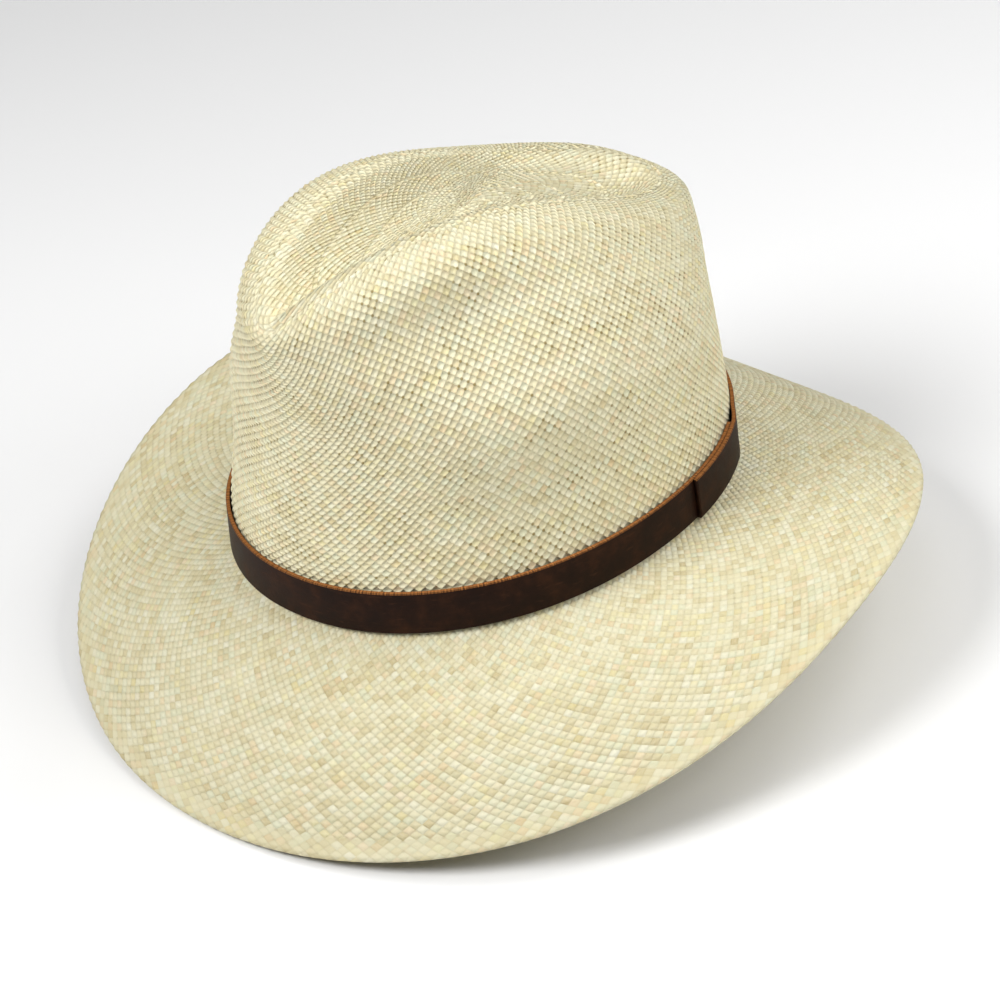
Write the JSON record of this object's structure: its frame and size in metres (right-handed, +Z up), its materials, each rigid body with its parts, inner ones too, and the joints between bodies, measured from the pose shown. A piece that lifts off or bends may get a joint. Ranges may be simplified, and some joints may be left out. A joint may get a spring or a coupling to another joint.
{
  "type": "panama hat",
  "caption": "Woven straw fedora with a teardrop crown, a dipped wide brim, a narrow leather hat band and an inner sweatband; worn on the head.",
  "frame": {"origin": "centre of the head opening, level with the line where crown and brim meet", "axes": "+Z up through the crown, -Y the front of the hat, +X the wearer's left"},
  "size_m": [0.3338, 0.3263, 0.194],
  "materials": {
    "straw": "natural palm straw, woven over and under, dry sheen",
    "band_leather": "smooth dark brown leather, raw tan edge",
    "sweatband_leather": "soft tan leather, satin",
    "reed": "matte",
    "thread": "waxed thread",
    "ribbon": "grosgrain ribbon",
    "label": "plain woven label, blank"
  },
  "bodies": {
    "hat": {"straw_body": "straw", "sweatband": "sweatband_leather", "sweatband_reed": "reed", "sweatband_stitches": "thread", "sweatband_seam_stitches": "thread", "sweatband_bow": "ribbon", "size_label": "label"},
    "band": {"hat_band": "band_leather"}
  },
  "joints": [
    {"name": "band_lift", "type": "slide", "parent": "hat", "child": "band", "axis": [0, 0, 1], "range_m": [0, 0.14]}
  ]
}
